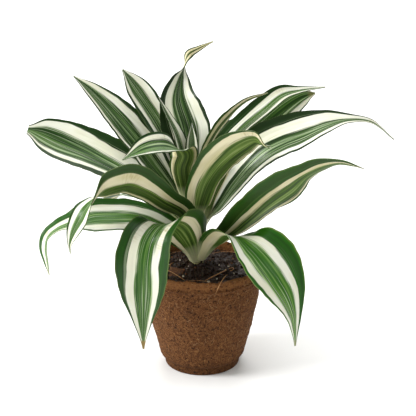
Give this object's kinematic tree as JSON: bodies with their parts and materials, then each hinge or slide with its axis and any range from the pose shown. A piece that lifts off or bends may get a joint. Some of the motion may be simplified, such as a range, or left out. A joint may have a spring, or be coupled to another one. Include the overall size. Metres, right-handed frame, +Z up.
{
  "type": "potted dracaena",
  "caption": "Young dracaena with arching, cream-banded strap leaves on a short shoot, standing in soil in a round brown moulded fibre pot.",
  "frame": {"origin": "centre of the pot's flat underside", "axes": "+Z up along the pot's axis; the front of the plant, as it is seen in the picture, faces -Y; +X is to the right in that view"},
  "size_m": [0.3254, 0.1988, 0.2936],
  "materials": {
    "moulded_fibre": "rough pressed fibre",
    "soil": "moist, crumbly",
    "shoot": "smooth, waxy",
    "leaf": "satin, cream and green bands along the blade"
  },
  "bodies": {
    "root": {"fibre_pot": "moulded_fibre", "potting_soil": "soil", "stem": "shoot", "leaf_spear": "leaf", "leaf_inner_upright": "leaf", "leaf_top_twisted": "leaf", "leaf_upper_left_inner": "leaf", "leaf_centre_folded": "leaf", "leaf_upper_right_edge": "leaf", "leaf_back_right_high": "leaf", "leaf_back_left_high": "leaf", "leaf_upper_right_short": "leaf", "leaf_upper_right_long": "leaf", "leaf_upper_left": "leaf", "leaf_back_middle": "leaf", "leaf_centre_curled": "leaf", "leaf_back_left_mid": "leaf", "leaf_back_right_mid": "leaf", "leaf_right_arch": "leaf", "leaf_right_inner": "leaf", "leaf_far_left": "leaf", "leaf_left_folded": "leaf", "leaf_right_under": "leaf", "leaf_back_right_low": "leaf", "leaf_right_low": "leaf", "leaf_back_left_low": "leaf", "leaf_left_low": "leaf", "leaf_back_hanging": "leaf", "leaf_front_left": "leaf", "leaf_front_right": "leaf"}
  },
  "joints": []
}
